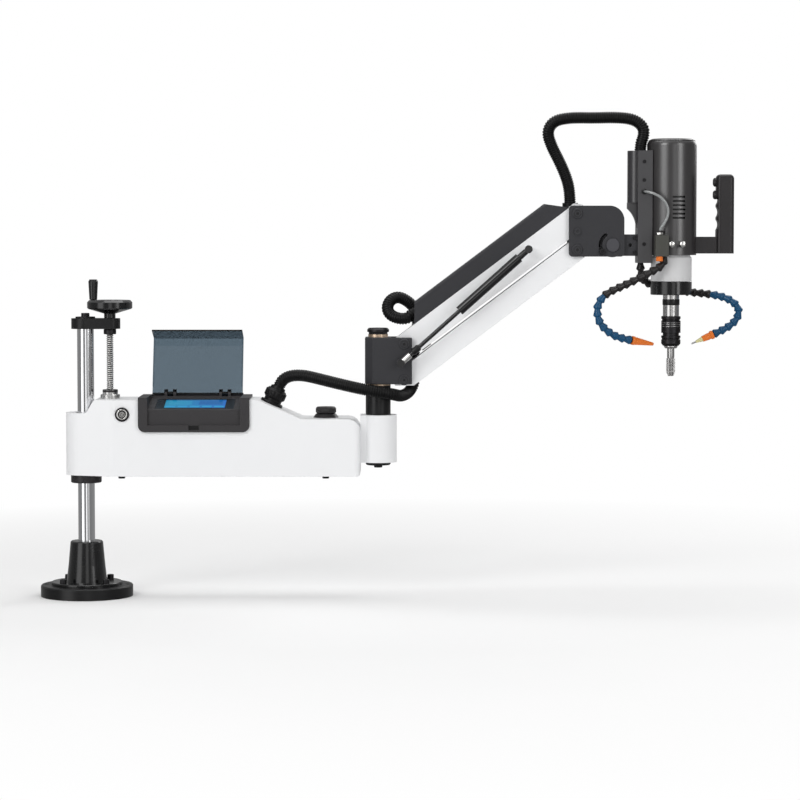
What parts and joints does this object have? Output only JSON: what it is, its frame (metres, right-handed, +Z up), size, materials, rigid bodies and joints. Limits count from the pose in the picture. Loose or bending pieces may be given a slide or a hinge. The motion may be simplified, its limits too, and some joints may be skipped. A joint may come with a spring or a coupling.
{
  "type": "arm tapping machine",
  "caption": "Swing-arm tapping machine: column on a round foot, lower arm with screen, elbow, parallelogram arm and a tilting tapping head.",
  "frame": {"origin": "centre of the foot's underside, on the column's axis", "axes": "+X from the column towards the tapping head, +Z up, the operator at -Y"},
  "size_m": [1.3523, 0.177, 0.9308],
  "materials": {
    "white_paint": "satin powder coat",
    "black_paint": "satin",
    "dark_grey_paint": "satin",
    "black_oxide": "black oxide steel",
    "chrome": "polished",
    "steel": "ground steel",
    "aluminium": "satin",
    "bronze": "machined bronze",
    "gloss_black": "gloss",
    "black_plastic": "fine texture",
    "panel_plastic": "fine texture",
    "smoky_lid": "smoky translucent",
    "screen_glass": "lit screen",
    "electronics": "moulded",
    "rubber": "matte",
    "conduit": "ribbed",
    "hose_blue": "moulded segments",
    "orange_plastic": "moulded",
    "clear_tube": "clear tube"
  },
  "bodies": {
    "base": {"base_flange": "black_paint", "column_socket": "black_paint", "socket_bolts": "black_oxide", "column": "chrome", "swivel_bolt": "steel"},
    "swing_bracket": {"top_bracket": "black_paint"},
    "screw": {"lead_screw": "steel", "handwheel": "gloss_black"},
    "crank": {"crank_handle": "gloss_black"},
    "lower_arm": {"arm_housing": "white_paint", "bottom_cover": "white_paint", "cover_screws": "black_oxide", "guide_bushes": "bronze", "feed_nut": "steel", "button_housing": "steel", "panel_frame": "panel_plastic", "touch_screen": "screen_glass", "control_electronics": "electronics", "conduit_gland": "black_plastic", "air_regulator": "black_plastic", "elbow_housing": "white_paint", "elbow_post": "steel", "elbow_fastenings": "black_oxide", "arm_conduit": "conduit"},
    "button": {"power_button": "steel"},
    "lid": {"screen_lid": "smoky_lid"},
    "knob": {"regulator_knob": "black_plastic"},
    "elbow": {"elbow_block": "dark_grey_paint", "elbow_bushes": "bronze", "block_fittings": "steel", "link_conduit": "conduit"},
    "upper_arm": {"upper_link": "white_paint", "cable_cover": "black_plastic", "link_buffers": "rubber"},
    "lower_rod": {"lower_link": "white_paint"},
    "head_carrier": {"cheek_plates": "dark_grey_paint", "carrier_pins": "black_oxide", "carrier_gland": "black_plastic", "head_conduit": "conduit"},
    "strut_piston": {"strut_rod": "steel"},
    "strut_cylinder": {"strut_tube": "black_paint"},
    "tapping_head": {"tilt_block": "dark_grey_paint", "head_screws": "black_oxide", "wiring_channel": "black_plastic", "motor_cover": "black_plastic", "servo_motor": "aluminium", "gearbox_housing": "aluminium", "nose_ring": "black_paint", "handle_bar": "black_paint", "hand_grip": "black_plastic", "coolant_valve": "dark_grey_paint", "coolant_hoses": "hose_blue", "air_tube": "clear_tube"},
    "spindle_set": {"spindle": "steel", "chuck": "black_oxide", "tap": "steel"},
    "chuck_sleeve": {"release_sleeve": "black_oxide"},
    "start_button": {"start_trigger": "gloss_black"},
    "reverse_button": {"reverse_trigger": "gloss_black"},
    "coolant_knob": {"valve_knob": "orange_plastic"}
  },
  "joints": [
    {"name": "column_swing", "type": "hinge", "parent": "base", "child": "swing_bracket", "pos_m": [0, 0, 0.515], "axis": [0, 0, 1], "continuous": true},
    {"name": "screw_spin", "type": "hinge", "parent": "swing_bracket", "child": "screw", "pos_m": [0.047, 0, 0.515], "axis": [0, 0, 1], "range_deg": [-9000, 6750]},
    {"name": "crank_spin", "type": "hinge", "parent": "screw", "child": "crank", "pos_m": [0.0155, 0, 0.57], "axis": [0, 0, 1], "continuous": true},
    {"name": "arm_slide", "type": "slide", "parent": "swing_bracket", "child": "lower_arm", "axis": [0, 0, 1], "range_m": [-0.075, 0.1]},
    {"name": "power_button", "type": "slide", "parent": "lower_arm", "child": "button", "axis": [0, 1, 0], "range_m": [0, 0.002], "stiffness_N_per_m": 300},
    {"name": "lid_hinge", "type": "hinge", "parent": "lower_arm", "child": "lid", "pos_m": [0.2115, 0.05, 0.387], "axis": [1, 0, 0], "range_deg": [0, 110]},
    {"name": "regulator_turn", "type": "hinge", "parent": "lower_arm", "child": "knob", "pos_m": [0.4616, 0, 0.3445], "axis": [0, 0, 1], "range_deg": [-135, 135]},
    {"name": "elbow_swing", "type": "hinge", "parent": "lower_arm", "child": "elbow", "pos_m": [0.562, 0, 0.41], "axis": [0, 0, 1], "range_deg": [-120, 120], "deforming": ["arm_conduit"]},
    {"name": "arm_lift", "type": "hinge", "parent": "elbow", "child": "upper_arm", "pos_m": [0.612, 0, 0.487], "axis": [0, -1, 0], "range_deg": [-50, 4], "deforming": ["link_conduit"]},
    {"name": "lower_link_turn", "type": "hinge", "parent": "elbow", "child": "lower_rod", "pos_m": [0.612, 0, 0.418], "axis": [0, -1, 0], "range_deg": [-50, 4]},
    {"name": "carrier_level", "type": "hinge", "parent": "upper_arm", "child": "head_carrier", "pos_m": [0.94184, 0, 0.73555], "axis": [0, -1, 0], "range_deg": [-4, 50]},
    {"name": "strut_foot_turn", "type": "hinge", "parent": "elbow", "child": "strut_piston", "pos_m": [0.6055, -0.052, 0.451], "axis": [0, -1, 0], "range_deg": [-48, 4]},
    {"name": "strut_top_turn", "type": "hinge", "parent": "upper_arm", "child": "strut_cylinder", "pos_m": [0.84803, -0.052, 0.66762], "axis": [0, -1, 0], "range_deg": [-1, 4]},
    {"name": "head_tilt", "type": "hinge", "parent": "head_carrier", "child": "tapping_head", "pos_m": [1.00934, 0, 0.67525], "axis": [0, 1, 0], "range_deg": [0, 65], "deforming": ["head_conduit"]},
    {"name": "spindle_spin", "type": "hinge", "parent": "tapping_head", "child": "spindle_set", "pos_m": [1.12404, 0, 0.58025], "axis": [0, 0, 1], "continuous": true},
    {"name": "sleeve_slide", "type": "slide", "parent": "spindle_set", "child": "chuck_sleeve", "axis": [0, 0, 1], "range_m": [0, 0.005], "stiffness_N_per_m": 1500},
    {"name": "start_press", "type": "slide", "parent": "tapping_head", "child": "start_button", "axis": [1, 0, 0], "range_m": [0, 0.003], "stiffness_N_per_m": 300},
    {"name": "reverse_press", "type": "slide", "parent": "tapping_head", "child": "reverse_button", "axis": [1, 0, 0], "range_m": [0, 0.003], "stiffness_N_per_m": 300},
    {"name": "coolant_turn", "type": "hinge", "parent": "tapping_head", "child": "coolant_knob", "pos_m": [1.09604, -0.058, 0.65425], "axis": [0, 0, 1], "range_deg": [0, 90]}
  ],
  "couplings": [
    {"joint": "screw_spin", "follows": "arm_slide", "rad_per_m": -1570.8},
    {"joint": "lower_link_turn", "follows": "arm_lift", "ratio": 1},
    {"joint": "carrier_level", "follows": "arm_lift", "ratio": -1},
    {"joint": "strut_foot_turn", "follows": "arm_lift", "ratio": 0.94},
    {"joint": "strut_top_turn", "follows": "arm_lift", "ratio": -0.06}
  ]
}
